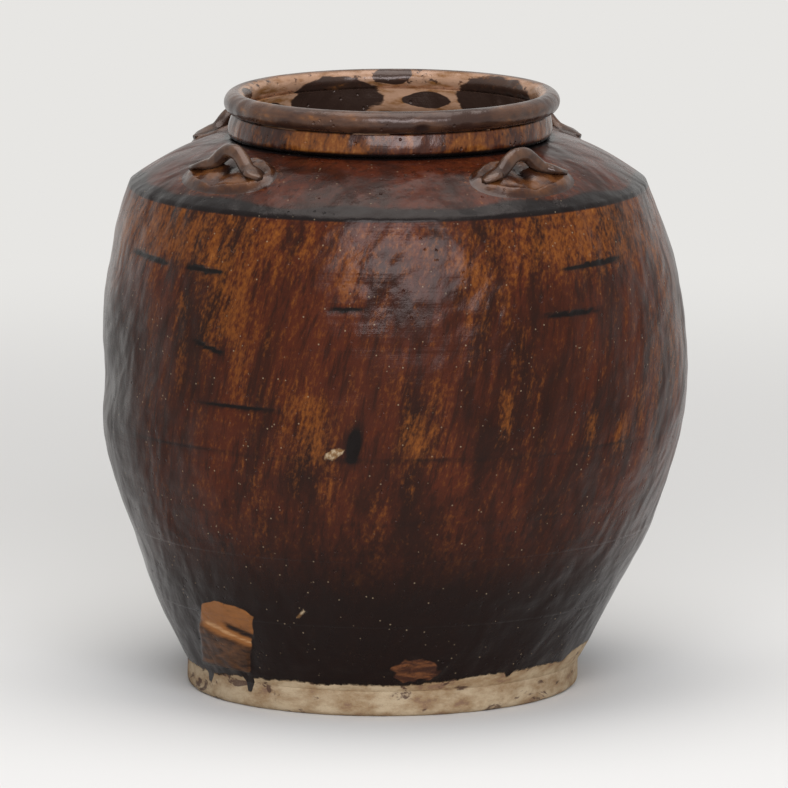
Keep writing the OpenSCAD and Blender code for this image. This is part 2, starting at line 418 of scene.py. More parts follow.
def make_neck():
    """The collar: swollen side, saddle for the rim's coil, straight mouth and spigot."""
    side = []
    for k in range(25):
        u = k / 24
        side.append((NECK_R + COLLAR_SWELL * math.sin(math.pi * u ** 0.58), NECK_SEAT_Z + NECK_H * u))
    cr, cz = ROLL_CENTRE
    foot_of_saddle = cz - math.sqrt(ROLL_R ** 2 - (cr - NECK_R) ** 2)
    side = [p for p in side if p[1] < foot_of_saddle - 0.5]
    rise = math.asin((NECK_TOP_Z - cz) / ROLL_R)
    start = -math.pi / 2 + math.atan2(NECK_R - cr, cz - foot_of_saddle)
    end = -math.pi - rise
    section = side + roll_points(start, end, 8)
    section += [(MOUTH_R, NECK_TOP_Z), (MOUTH_R, NECK_SEAT_Z - SHOULDER_T),
                (SPIGOT_R, NECK_SEAT_Z - SHOULDER_T), (SPIGOT_R, NECK_SEAT_Z)]
    piece = spun_ring("glazed_neck", section, 1.6)
    shape_by_hand(piece, broad_amount)
    return piece


def make_rim():
    """The thick round coil of the rim."""
    piece = spun_ring("rolled_rim", roll_points(0, math.tau, 32)[:-1], 1.6)
    shape_by_hand(piece, lambda angle, r, z: off_round(angle, z) - rim_chip(angle, r, z))
    return piece


# Chips in the rim: angle, half width, height, half height, depth
CHIPS = ((10.5, 7, 547, 3, 1.6), (46, 5, 552, 2, 0.8), (52, 6, 552, 2, 0.8), (57, 5, 552, 2, 0.8),
         (63, 7, 552, 2, 0.8))


def rim_chip(angle, r, z):
    """Depth of the chips knocked out of the roll's outer side."""
    if r < ROLL_CENTRE[0] + 4:
        return 0.0
    out = 0.0
    for at, half, height, up, depth in CHIPS:
        out += depth * bell(turn(angle, at) * RIM_ARC, half) * bell(z - height, up)
    return out


def make_foot():
    """The bare foot ring, its lower edge rounded, with a ledge inside for the floor."""
    corner = []
    for a in range(-90, 1, 15):
        a = math.radians(a)
        corner.append((FOOT_R - FOOT_EDGE * (1 - math.cos(a)), FOOT_EDGE * (1 + math.sin(a))))
    section = corner + [(FOOT_R, FOOT_H), key_point(FOOT_H), (DISC_R, FOOT_H), (DISC_R, BASE_LIFT),
                        (DISC_R - LEDGE_W, BASE_LIFT), (DISC_R - LEDGE_W, 0)]
    piece = spun_ring("clay_foot", section, 2.0)
    shape_by_hand(piece, foot_amount)
    return piece


def foot_amount(angle, r, z):
    """Chips and worn stretches along the foot, only on its outer side."""
    outer = smooth((r - DISC_R) / 8)
    rough = round_noise(angle, 9, z / 14)
    return off_round(angle, z) + outer * (0.8 * rough - 0.6 * abs(rough)) * smooth((26 - z) / 12)


def no_push(angle, r, z):
    """A piece that only leans."""
    return 0.0


def make_base():
    """The floor of the jar: a disc, beaten flat, with its edge in the foot ring."""
    bm = bmesh.new()
    bmesh.ops.create_circle(bm, cap_ends=True, radius=DISC_R * MM, segments=SEGMENTS // 4,
                            matrix=Matrix.Translation((0, 0, BASE_LIFT * MM)))
    grown = bmesh.ops.extrude_face_region(bm, geom=bm.faces[:])
    top = [g for g in grown["geom"] if isinstance(g, bmesh.types.BMVert)]
    bmesh.ops.translate(bm, verts=top, vec=(0, 0, BASE_T * MM))
    for inset in (18, 15, 18, 18):
        lid = max(bm.faces, key=lambda f: f.calc_center_median().z)
        bmesh.ops.inset_region(bm, faces=[lid], thickness=inset * MM)
    bmesh.ops.recalc_face_normals(bm, faces=bm.faces)
    piece = finish_mesh("clay_base", bm)
    for polygon in piece.data.polygons:
        polygon.use_smooth = False
    shape_by_hand(piece, no_push)
    return piece


def coil_centre(u):
    """Middle of a lug's coil, u along the lug, before the lug is turned to its place."""
    a = min(1.0, abs(2 * u / ARCH_SPAN))
    crown = PAD_T + EYE_H + COIL_D / 2
    flat = PAD_T + LEAF_T / 4
    lift = flat + (crown - flat) * (1 + math.cos(math.pi * a ** 1.25)) / 2
    r = LUG_R + TIP_OUT * (2 * u / LUG_SPAN) ** 2
    return Vector((u, -math.sqrt(r * r - u * u), shoulder_z(r) + lift))


def coil_half_sizes(u):
    """Half width and half height of the coil: round on the arch, pressed to a leaf at its ends."""
    share = max(0.0, (abs(2 * u) - ARCH_SPAN) / (LUG_SPAN - ARCH_SPAN))
    width = COIL_D + (TIP_W - COIL_D) * share * share
    width += (LEAF_W - COIL_D) * 2 * math.sin(math.pi * share)
    height = COIL_D + (LEAF_T - COIL_D) * math.sin(math.pi / 2 * share)
    return width / 2, height / 2


def make_loop(name, angle, seed):
    """The arched coil of a lug: an oval pushed out step by step along the arch."""
    rings, sides = 72, 24
    bm = bmesh.new()
    bmesh.ops.create_circle(bm, cap_ends=True, radius=1, segments=sides)
    way_round = bm.verts.layers.float.new("way_round")
    for k, v in enumerate(bm.verts):
        v[way_round] = math.tau * k / sides
    end = bm.faces[:][0]
    for i in range(rings + 1):
        if i:
            grown = bmesh.ops.extrude_face_region(bm, geom=[end, *end.edges, *end.verts])
            end = [g for g in grown["geom"] if isinstance(g, bmesh.types.BMFace)][0]
        u = LUG_SPAN * (i / rings - 0.5)
        width, height = coil_half_sizes(u)
        run = (coil_centre(u + 0.1) - coil_centre(u - 0.1)).normalized()
        up = run.cross(Vector((0, 1, 0))).normalized()
        side = up.cross(run)
        for v in end.verts:
            t = v[way_round]
            lump = 1 + COIL_LUMPS * noise.noise(Vector((u / 9, math.cos(t) + seed, math.sin(t))))
            spoke = up * height * math.cos(t) + side * width * math.sin(t)
            v.co = (coil_centre(u) + spoke * lump * COIL_SWELL) * MM
    bm.verts.layers.float.remove(way_round)
    bmesh.ops.recalc_face_normals(bm, faces=bm.faces)
    return place_lug_piece(f"lug_coil_{name}", bm, angle)


def pad_share(u, out):
    """0 at the middle of a pad and 1 at its edge."""
    return math.hypot(u / PAD_HALF[0], (out - PAD_OUT) / PAD_HALF[1])


def pad_lift(u, out):
    """Height of the smeared clay over the shoulder: a low mound with a rim and two thumb hollows."""
    d = 1 - pad_share(u, out)
    lift = PAD_T * smooth(d / 0.22)
    lift += 1.6 * bell(d - 0.16, 0.10) * smooth(d * 8)
    lift -= 2.9 * bell(u, 9) * smooth(d / 0.2)
    for side in (-1, 1):
        hollow = math.hypot((u - side * 35) / 12, (out + 4) / 7)
        lift -= 3.6 * math.exp(-hollow ** 2)
    return lift + 0.35 * noise.noise(Vector((u / 7, out / 7, 5)))


def make_pad(name, angle):
    """The pad under a lug: a lens spun from its section, then laid on the shoulder and shaped."""
    rings, sides, sunk = 26, 96, -0.8
    bm = bmesh.new()
    section = [(i / rings, 1) for i in range(rings + 1)] + [(i / rings, 0) for i in range(rings, -1, -1)]
    verts = [bm.verts.new((share, 0, top)) for share, top in section]
    edges = [bm.edges.new(pair) for pair in zip(verts, verts[1:])]
    bmesh.ops.spin(bm, geom=verts + edges, cent=(0, 0, 0), axis=(0, 0, 1), angle=math.tau,
                   steps=sides, use_merge=True, use_duplicate=False)
    bmesh.ops.remove_doubles(bm, verts=bm.verts, dist=1e-6)
    bmesh.ops.recalc_face_normals(bm, faces=bm.faces)
    for v in bm.verts:
        share = math.hypot(v.co.x, v.co.y)
        u, out = PAD_HALF[0] * v.co.x, PAD_OUT - PAD_HALF[1] * v.co.y
        lift = sunk
        if v.co.z > 0.5:
            lift = max(0.15, pad_lift(u, out)) * smooth((1 - share) * 14)
        r = math.hypot(u, LUG_R + out)
        v.co = Vector((u, -(LUG_R + out), shoulder_z(r) + lift)) * MM
    return place_lug_piece(f"lug_bed_{name}", bm, angle)


def place_lug_piece(name, bm, angle):
    """Turns a lug's piece to its angle and moves it as the shoulder under it was moved."""
    turned = Matrix.Rotation(math.radians(angle), 3, "Z")
    bmesh.ops.rotate(bm, verts=bm.verts, cent=(0, 0, 0), matrix=turned)
    piece = finish_mesh(name, bm)
    shape_by_hand(piece, lambda angle, r, z: off_round(angle, shoulder_under(r, z)), shoulder_under)
    return piece


def shoulder_under(r, z):
    """Height of the shoulder under a lug's piece."""
    return shoulder_z(min(r, RIDGE_R))


# Amber runs in the glaze: angle, top and bottom height, half width, strength
RUNS = (
    (-34.5, 413, 358, 17, 0.55), (-38, 440, 345, 8, 0.35), (-31, 430, 300, 10, 0.3),
    (-46, 400, 310, 7, 0.3), (-56, 380, 290, 6, 0.25), (-70, 360, 240, 7, 0.3),
    (-76, 470, 380, 9, 0.4), (-16, 316, 245, 13, 0.5), (-13, 300, 215, 8, 0.35),
    (-22, 330, 240, 8, 0.25), (-8, 450, 400, 9, 0.35), (-2, 430, 360, 7, 0.2),
    (4.2, 302, 262, 8, 0.6), (2.5, 340, 225, 6, 0.25), (8, 330, 250, 9, 0.3),
    (22, 318, 283, 5, 0.6), (22.5, 412, 372, 5, 0.4), (26, 380, 250, 8, 0.2),
    (17, 440, 340, 9, 0.25), (42, 294, 260, 5, 0.5), (50, 284, 248, 7, 0.5), (56, 310, 270, 6, 0.5),
    (62, 380, 230, 8, 0.3), (71, 430, 280, 9, 0.45), (77, 410, 300, 8, 0.4),
    (-38, 168, 152, 3, 0.4), (-7, 147, 130, 4, 0.4), (-10, 118, 92, 3, 0.35),
    (17.8, 148, 132, 3, 0.4), (-3, 230, 150, 7, 0.2), (12, 210, 150, 6, 0.2),
    (-28, 240, 160, 7, 0.2), (95, 430, 300, 12, 0.4), (110, 380, 240, 9, 0.4),
    (128, 440, 330, 12, 0.35), (150, 330, 220, 10, 0.5), (170, 420, 290, 9, 0.3),
    (188, 360, 230, 11, 0.45), (205, 440, 350, 10, 0.3), (222, 340, 210, 8, 0.4),
    (240, 420, 300, 11, 0.35), (258, 380, 260, 8, 0.4),
)


def run_field(angle, r, z):
    """How strongly an amber run shows at this place."""
    out = 0.0
    for at, top, low, half, strength in RUNS:
        away = arc(angle, at, r)
        if abs(away) > 4 * half or z > top + 30 or z < low - 40:
            continue
        lengthwise = smooth((top - z) / 14 + 0.5) * smooth((z - low) / 30 + 0.6)
        out = max(out, strength * bell(away, 1.6 * half) * lengthwise)
    return out


def amber_band(angle, r, z):
    """The speckled amber under the ridge, strong at both sides and weak in the middle."""
    side = 0.25 + 0.75 * max(bell(turn(angle, -52), 26), bell(turn(angle, 50), 30),
                             bell(turn(angle, 140), 30), bell(turn(angle, -140), 30))
    return side * smooth((z - 395) / 50) * smooth((478 - z) / 4)


def dark_field(angle, r, z):
    """Where the glaze lies thick and nearly black: low on the wall and in broad patches."""
    low = 1 - smooth((z - 60) / 190)
    left = 0.8 * bell(turn(angle, -76), 22) * (1 - smooth((z - 330) / 100))
    round_scar = bell(min(0.0, scar_fields(angle, z)[0]) + 4, 7) if z < 120 else 0.0
    line = bell(z - glaze_line(angle) - 3, 5)
    return min(1.0, max(low, left, round_scar, line))


# Drips of black glaze over the bare foot: angle, length, half width
DRIPS = ((-42.0, 14, 5.0), (-61.0, 9, 4.5), (38, 5, 4), (85, 10, 4), (150, 14, 5), (-120, 13, 5))


def glaze_line(angle):
    """Height at which the glaze ends above the bare foot: high at the right, with drips."""
    side = turn(angle, 0)
    line = 30.5 + 1.8 * round_noise(angle, 5, 1) + 1.0 * round_noise(angle, 19, 4)
    line += 6 * smooth((side - 5) / 30) * smooth((140 - side) / 40)
    line -= 5.5 * smooth((-30 - side) / 30) * smooth((side + 130) / 40)
    line += 9 * smooth((side - 60) / 7) * smooth((112 - side) / 12)
    for at, length, half in DRIPS:
        away = arc(angle, at, FOOT_ARC_R) / half
        line -= length * math.exp(-away ** 4)
    return line


def glaze_edge(angle, r, z):
    return z - glaze_line(angle)


def scar_edge(angle, r, z):
    return scar_fields(angle, z)[0]


def small_scar_edge(angle, r, z):
    return small_scar_fields(angle, z)[0] - 2


def grit_edge(angle, r, z):
    """The grit beside the burst lump, and one pale scratch lower down."""
    across, up = arc(angle, SCRATCH["angle"], SCRATCH["r"]), z - SCRATCH["z"]
    along, off = across * 0.68 + up * 0.73, up * 0.68 - across * 0.73
    scratch = SCRATCH["thick"] - abs(off) if abs(along) < SCRATCH["half"] else NO_GRIT
    return max(pit_fields(angle, z)[1], scratch)


# Thin dark lines that run level round the wall: height and strength
RING_LINES = ((256, 0.42), (195, 0.2), (165, 0.18), (357, 0.12))


def crack_field(angle, r, z):
    """Black in the cracks, the burst lump's hollow and the thin level lines."""
    out = max(0.0, crack_depth(angle, z)) + 0.45 * max(0.0, pit_fields(angle, z)[0])
    wave = round_noise(angle, 4, 7)
    for height, strength in RING_LINES:
        out += strength * (1 + 0.8 * wave) * bell(z - height - 1.5 * wave, 1.5)
    return min(1.0, out)


# Rounded brown patches on the bare clay inside the mouth: angle, half width, height, half height
PATCHES = (
    (-156, 20, 536, 21), (180, 8, 556, 8), (165, 10, 534, 8), (131, 23, 541, 20), (-125, 10, 524, 14),
    (95, 12, 530, 16), (60, 16, 545, 22), (20, 20, 530, 20), (-25, 14, 548, 14), (-70, 18, 534, 20),
    (-98, 8, 552, 9), (148, 6, 516, 9), (-178, 9, 516, 7),
)


def patch_field(angle, r, z):
    """Above 0 inside a patch."""
    out = -1.0
    for at, half, height, up in PATCHES:
        d = 1 - math.hypot(turn(angle, at) / half, (z - height) / up)
        out = max(out, d + 0.14 * noise.noise(Vector((angle / 6, z / 9, at))))
    return out


def inside_field(angle, r, z):
    """1 on the inner side of the neck."""
    return 1.0 if r < NECK_R else 0.0


def pool_field(angle, r, z):
    """Black glaze pooled just inside the ridge and in the groove at the neck's foot."""
    width = 9.0 + 5.0 * round_noise(angle, 4, 2)
    ridge = smooth((r - (RIDGE_R - 1.5 * width)) / 6) * smooth((z - RIDGE_Z + 4) / 2.5)
    groove = 1 - smooth((r - NECK_R - 3) / 7)
    return max(ridge, groove if z > NECK_SEAT_Z - 8 else 0.0)


def lug_amber_field(angle, r, z):
    """Amber where the glaze runs thin round the lugs."""
    out = 0.0
    for at in LUGS.values():
        across = arc(angle, at, r)
        d = math.hypot(across / 62, (r - LUG_R - 8) / 26)
        out = max(out, smooth((1.25 - d) / 0.5))
    return out


def ridge_amber_field(angle, r, z):
    """Amber on the crest just below the ridge."""
    return amber_band(angle, r, min(z, 470)) * smooth((RIDGE_Z - 1 - z) / 3)


def hollow_shade_field(at):
    """Painted shade: dark in the thumb hollows and in the channel under the arch of one lug."""
    def field(angle, r, z):
        u = arc(angle, at, r)
        out = r * math.cos(math.radians(turn(angle, at))) - LUG_R
        dark = bell(u, 9) * smooth((14 - out) / 8)
        for side in (-1, 1):
            dark = max(dark, math.exp(-((u - side * 27) / 15) ** 2 - ((out + 3) / 9) ** 2))
        return dark
    return field


def under_arch_shade(angle, r, z):
    """Painted shade: dark on the underside of a coil, near the pad."""
    lift = z - shoulder_z(min(r, RIDGE_R))
    return 1 - smooth((lift - PAD_T) / 4)


def pad_edge(at):
    """1 at a pad's thin edge, where it runs out into the shoulder's glaze."""
    def field(angle, r, z):
        a = math.radians(turn(angle, at))
        u, out = r * math.sin(a), r * math.cos(a) - LUG_R
        return smooth((pad_share(u, out) - 0.80) / 0.18)
    return field


def neck_pool_and_shade_field(angle, r, z):
    """Black in the groove at the neck's foot, and painted shade under the roll."""
    return (1 - smooth((z - NECK_SEAT_Z - 2) / 4)) + 0.8 * smooth((z - 539) / 2)


def rim_inner_field(angle, r, z):
    return smooth((ROLL_CENTRE[0] - 1 - r) / 5)


def chip_field(angle, r, z):
    return min(1.0, rim_chip(angle, r, z) * 1.1)


class Nodes:
    """A short way to write a material's nodes."""

    def __init__(self, name):
        self.material = bpy.data.materials.new(name)
        self.material.use_nodes = True
        self.tree = self.material.node_tree
        self.shader = self.tree.nodes["Principled BSDF"]
        coordinates = self.add("ShaderNodeTexCoord")
        self.object = coordinates.outputs["Object"]
        self.leant = None

    def add(self, kind, **settings):
        node = self.tree.nodes.new(kind)
        for key, value in settings.items():
            setattr(node, key, value)
        return node

    def link(self, source, socket):
        """Links an output to a socket, or sets the socket to a number or a colour."""
        if isinstance(source, (int, float)):
            socket.default_value = source
        elif isinstance(source, tuple):
            socket.default_value = (*source, 1.0) if len(source) == 3 else source
        else:
            self.tree.links.new(source, socket)

    def put(self, kind, inputs, **settings):
        """Adds a node and links or sets its inputs."""
        node = self.add(kind, **settings)
        for key, source in inputs.items():
            self.link(source, node.inputs[key])
        return node

    def math(self, operation, a, b, clamp=False):
        node = self.put("ShaderNodeMath", {0: a, 1: b}, operation=operation, use_clamp=clamp)
        return node.outputs[0]

    def times(self, a, b, clamp=False):
        return self.math("MULTIPLY", a, b, clamp)

    def plus(self, a, b, clamp=False):
        return self.math("ADD", a, b, clamp)

    def minus(self, a, b):
        return self.math("SUBTRACT", a, b)

    def value(self, name):
        """A value that was painted on the piece's vertices."""
        return self.add("ShaderNodeAttribute", attribute_name=name).outputs["Fac"]

    def steps(self, value, low, high):
        """0 below low and 1 above high, or the other way round, with soft ends."""
        inputs = {"Value": value, "From Min": low, "From Max": high}
        node = self.put("ShaderNodeMapRange", inputs, interpolation_type="SMOOTHSTEP")
        return node.outputs["Result"]

    def mix(self, share, a, b):
        node = self.put("ShaderNodeMix", {"Factor": share, "A": a, "B": b}, data_type="RGBA")
        return node.outputs["Result"]

    def stretched(self, across, up):
        """Coordinates round the jar: a pattern's size across and up, in patterns a metre."""
        node = self.put("ShaderNodeVectorMath", {0: self.leaning()}, operation="MULTIPLY")
        node.inputs[1].default_value = (across, across, up)
        return node.outputs[0]

    def height(self):
        """Height over the floor in metres."""
        return self.put("ShaderNodeSeparateXYZ", {0: self.object}).outputs["Z"]

    def leaning(self):
        """Coordinates turned a little more with height, so that runs lean to the right."""
        if self.leant is None:
            inputs = {"Vector": self.object, "Angle": self.times(self.height(), -RUN_LEAN)}
            twist = self.put("ShaderNodeVectorRotate", inputs, rotation_type="Z_AXIS")
            self.leant = twist.outputs["Vector"]
        return self.leant

    def cloud(self, vector, scale=1.0, detail=4.0, rough=0.55, twist=0.0):
        inputs = {"Vector": vector, "Scale": scale, "Detail": detail, "Roughness": rough,
                  "Distortion": twist}
        return self.put("ShaderNodeTexNoise", inputs).outputs["Fac"]

    def cells(self, scale):
        inputs = {"Vector": self.object, "Scale": scale}
        return self.put("ShaderNodeTexVoronoi", inputs).outputs["Distance"]

    def bump(self, height, distance, strength=1.0, below=None):
        inputs = {"Height": height, "Distance": distance, "Strength": strength}
        if below is not None:
            inputs["Normal"] = below
        return self.put("ShaderNodeBump", inputs).outputs["Normal"]


# Colours of the glazes and clays, linear
BLACK_GLAZE = (0.0062, 0.0024, 0.0017)
DARK_GLAZE = (0.016, 0.0045, 0.0024)
RUST_GLAZE = (0.062, 0.0120, 0.0042)
AMBER_GLAZE = (0.200, 0.060, 0.0095)
PALE_AMBER = (0.42, 0.19, 0.050)
BARE_CLAY = (0.52, 0.40, 0.26)
PINK_CLAY = (0.46, 0.27, 0.17)
SCAR_CLAY = (0.27, 0.105, 0.030)
GRIT = (0.40, 0.30, 0.19)
BLOB = (0.17, 0.085, 0.030)
CLAY_STAIN = (0.20, 0.105, 0.075)
CLAY_SPOT = (0.062, 0.026, 0.020)
SCAR_SLIT = (0.012, 0.0055, 0.0040)
SCAR_LEDGE = (0.50, 0.27, 0.12)
BLISTER = (0.165, 0.060, 0.022)
BLISTER_DARK = (0.045, 0.016, 0.009)
CRACK_BLACK = (0.003, 0.002, 0.002)
RIDGE_POOL = (0.0045, 0.0035, 0.0038)
# Black for the neck's groove and for the painted shade under the roll
NECK_POOL_AND_SHADE = (0.004, 0.003, 0.003)
MOUTH_AMBER = (0.24, 0.105, 0.032)
MOUTH_DEEP_SHADE = (0.060, 0.022, 0.010)
# Painted shade deep inside the mouth
MOUTH_PATCH = (0.034, 0.019, 0.014)
RIM_DARK = (0.034, 0.016, 0.011)
RIM_BROWN = (0.082, 0.037, 0.020)
RIM_AMBER = (0.19, 0.075, 0.022)
RIM_FLECK = (0.022, 0.012, 0.010)
CHIP_DARK = (0.010, 0.006, 0.006)
# Painted shade: black for the lugs' hollows and the undersides of their coils
HOLLOW_SHADE_BLACK = (0.006, 0.0045, 0.0045)
COIL_BROWN = (0.034, 0.016, 0.010)
COIL_WORN = (0.088, 0.043, 0.024)
PAD_BROWN = (0.040, 0.013, 0.006)
PAD_AMBER = (0.125, 0.045, 0.013)
# How strongly the body's glaze mirrors, and how far its runs turn as they rise, radians a metre
GLOSS = 0.21
RUN_LEAN = 0.8


def glaze_colour(n, amber, dark):
    """Runny iron glaze: dark ground, rust veils, amber runs, black where it lies thick."""
    veil = n.cloud(n.stretched(24, 6.5), detail=6, rough=0.62, twist=0.4)
    streak = n.cloud(n.stretched(135, 16), detail=6, rough=0.68, twist=0.2)
    mottle = n.cloud(n.stretched(330, 190), detail=3, rough=0.6)
    ground = n.mix(n.steps(veil, 0.34, 0.64), DARK_GLAZE, RUST_GLAZE)
    ground = n.mix(n.times(n.steps(streak, 0.5, 0.36), 0.75), ground, DARK_GLAZE)
    flow = n.plus(n.times(streak, 0.55), n.times(mottle, 0.45))
    spread = n.times(n.minus(flow, 0.475), 3.9)
    drift = n.times(n.minus(veil, 0.5), 0.8)
    shown = n.plus(n.plus(amber, spread), drift)
    colour = n.mix(n.times(n.steps(shown, 0.15, 1.25), 0.95), ground, AMBER_GLAZE)
    colour = n.mix(n.times(n.steps(shown, 1.0, 1.6), 0.4), colour, PALE_AMBER)
    thick = n.steps(n.plus(n.times(dark, 1.15), drift), 0.05, 1.0)
    return n.mix(n.times(thick, 0.97), colour, BLACK_GLAZE)


def specks(n, size, near, spread, picked):
    """1 in small round specks that are scattered in groups."""
    pick = n.cloud(n.object, scale=spread, detail=1)
    return n.times(n.steps(n.cells(size), *near), n.steps(pick, *picked))


def pale_grains(n, colour, share):
    """Tiny pale grains and dust caught in the glaze."""
    grain = specks(n, 150.0, (0.16, 0.06), 70, (0.52, 0.60))
    return n.mix(n.times(grain, share), colour, GRIT)


def glaze_bumps(n, extra=None):
    """Broad lumps, throwing lines, runs and pinholes under the gloss."""
    lumps = n.bump(n.cloud(n.stretched(19, 15), detail=2, twist=0.3), 0.010, 0.7)
    rings = n.bump(n.cloud(n.stretched(3, 200), detail=3, rough=0.6), 0.0008, 0.25, lumps)
    skin = n.bump(n.cloud(n.stretched(120, 90), detail=4, rough=0.6), 0.0012, 0.45, rings)
    hole = specks(n, 120.0, (0.22, 0.08), 45, (0.55, 0.6))
    pits = n.bump(n.minus(1.0, hole), 0.0012, 0.7, skin)
    if extra is not None:
        pits = n.bump(extra, 0.002, 0.8, pits)
    return pits


def set_gloss(n, colour, normal, rough, level):
    """A thick glassy coat of glaze."""
    n.link(colour, n.shader.inputs["Base Color"])
    n.link(normal, n.shader.inputs["Normal"])
    n.link(rough, n.shader.inputs["Roughness"])
    n.shader.inputs["IOR"].default_value = 1.45
    n.shader.inputs["Specular IOR Level"].default_value = level
    n.shader.inputs["Specular Tint"].default_value = (1.0, 0.86, 0.82, 1)


def gloss_roughness(n, low, high):
    """Roughness between two values in soft patches, where the glaze is rubbed."""
    rub = n.cloud(n.stretched(14, 10), detail=5, rough=0.6)
    inputs = {"Value": rub, "From Min": 0.3, "From Max": 0.7, "To Min": low, "To Max": high}
    return n.put("ShaderNodeMapRange", inputs).outputs["Result"]


def glazed(n, colour, low, high, level):
    """A material that is glazed all over."""
    set_gloss(n, colour, glaze_bumps(n), gloss_roughness(n, low, high), level)
    return n.material


def clay_colour(n, clay):
    """Sandy clay with broad stains, dark spots and fine grain."""
    stain = n.cloud(n.stretched(30, 60), detail=7, rough=0.66)
    spot = n.cloud(n.stretched(26, 60), detail=6, rough=0.62, twist=0.6)
    grain = n.cloud(n.object, scale=520, detail=3, rough=0.7)
    browned = tuple(c * k for c, k in zip(clay, (0.62, 0.52, 0.42)))
    colour = n.mix(n.steps(stain, 0.36, 0.62), clay, browned)
    colour = n.mix(n.times(n.steps(stain, 0.56, 0.66), 0.65), colour, CLAY_STAIN)
    colour = n.mix(n.times(n.steps(spot, 0.575, 0.63), 0.85), colour, CLAY_SPOT)
    dark_grain = tuple(c * 0.55 for c in clay)
    return n.mix(n.times(n.steps(grain, 0.5, 0.75), 0.35), colour, dark_grain)


def glaze_cover(n):
    """The ragged edge of the glaze: its unevenness, and 1 where glaze covers the clay."""
    ragged = n.minus(n.cloud(n.object, scale=160, detail=4), 0.5)
    ragged = n.times(ragged, 7.0)
    return ragged, n.steps(n.plus(n.value("glaze_edge"), ragged), -0.8, 0.9)


def with_marks(n, colour, ragged):
    """The wall's colour with its scars, cracks and grit, and 1 where the big scar is bare."""
    wood = n.cloud(n.stretched(60, 190), detail=5, rough=0.6)
    uneven = n.times(n.minus(wood, 0.5), 0.7)
    tone = n.plus(n.value("scar_tone"), uneven)
    scar_colour = n.mix(n.steps(tone, 0.08, 0.72), SCAR_SLIT, SCAR_CLAY)
    scar_colour = n.mix(n.steps(tone, 0.78, 1.15), scar_colour, SCAR_LEDGE)
    halo = n.times(n.steps(n.value("scar_edge"), -9.0, -0.5), 0.8)
    colour = n.mix(halo, colour, BLACK_GLAZE)
    scar = n.steps(n.plus(n.value("scar_edge"), ragged), -0.3, 1.0)
    colour = n.mix(scar, colour, scar_colour)
    halo = n.times(n.steps(n.value("small_scar_edge"), -7.0, 0.0), 0.8)
    colour = n.mix(halo, colour, BLACK_GLAZE)
    blister = n.mix(n.steps(wood, 0.36, 0.62), BLISTER, BLISTER_DARK)
    small = n.steps(n.plus(n.value("small_scar_edge"), ragged), -0.6, 1.0)
    colour = n.mix(small, colour, blister)
    colour = n.mix(n.times(n.value("crack"), 1.5, clamp=True), colour, CRACK_BLACK)
    blob = n.mix(n.steps(n.cloud(n.object, scale=190, detail=3), 0.42, 0.62), BLOB, GRIT)
    return n.mix(n.steps(n.value("grit_edge"), -0.6, 1.6), colour, blob), scar


def wall_glaze():
    """The jar's body: glaze above a ragged line, bare clay below it and in the scars."""
    n = Nodes("runny_brown_glaze")
    amber = n.plus(n.value("amber_run"), n.times(n.value("amber_band"), 0.58))
    colour = glaze_colour(n, amber, n.value("dark_glaze"))
    colour = pale_grains(n, colour, 0.5)
    ragged, cover = glaze_cover(n)
    lip = n.steps(n.plus(n.value("glaze_edge"), ragged), 7.0, 1.0)
    colour = n.mix(n.times(lip, 0.85), colour, BLACK_GLAZE)
    colour, scar = with_marks(n, colour, n.times(ragged, 0.25))
    colour = n.mix(cover, clay_colour(n, BARE_CLAY), colour)
    glossy = n.minus(1.0, n.times(scar, 0.35))
    matt = n.minus(1.0, n.times(cover, glossy))
    rough = n.plus(gloss_roughness(n, 0.18, 0.34), n.times(matt, 0.45), clamp=True)
    set_gloss(n, colour, glaze_bumps(n, cover), rough, GLOSS)
    return n.material


def shoulder_glaze():
    """Dark glaze with rust veils, pooled black along the ridge and round the neck's foot."""
    n = Nodes("pooled_shoulder_glaze")
    amber = n.minus(n.times(n.value("lug_amber"), 0.60), 0.15)
    amber = n.plus(amber, n.times(n.value("ridge_amber"), 0.75))
    colour = glaze_colour(n, amber, n.value("darkening"))
    colour = n.mix(n.times(n.value("darkening"), 0.96), colour, RIDGE_POOL)
    colour = pale_grains(n, colour, 0.4)
    return glazed(n, colour, 0.20, 0.36, GLOSS)


def mouth_clay(n):
    """Bare pinkish clay with rounded grey-brown patches and amber, and painted shade that makes it darker
    low down in the mouth.
    """
    warm = n.cloud(n.stretched(40, 160), detail=4, rough=0.6)
    colour = n.mix(n.steps(warm, 0.42, 0.66), PINK_CLAY, MOUTH_AMBER)
    # Painted shade: darker deeper down inside the mouth
    colour = n.mix(n.steps(n.height(), 0.536, 0.512), colour, MOUTH_DEEP_SHADE)
    edge = n.plus(n.value("patch"), n.times(n.minus(warm, 0.5), 0.3))
    return n.mix(n.steps(edge, -0.03, 0.04), colour, MOUTH_PATCH)


def neck_glaze():
    """Amber and brown mottle outside, black in the groove and painted shade under the roll; bare pinkish
    clay with round brown patches inside, with painted shade low down.
    """
    n = Nodes("mottled_neck_glaze")
    blotch = n.cloud(n.stretched(24, 14), detail=5, rough=0.6)
    amber = n.plus(n.times(n.steps(blotch, 0.44, 0.58), 0.75), 0.12)
    outside = glaze_colour(n, amber, n.value("darkening"))
    # Black in the groove at the neck's foot and painted shade under the roll
    outside = n.mix(n.times(n.value("darkening"), 0.95), outside, NECK_POOL_AND_SHADE)
    inside = mouth_clay(n)
    colour = n.mix(n.value("inside"), outside, inside)
    return glazed(n, colour, 0.18, 0.32, 0.45)


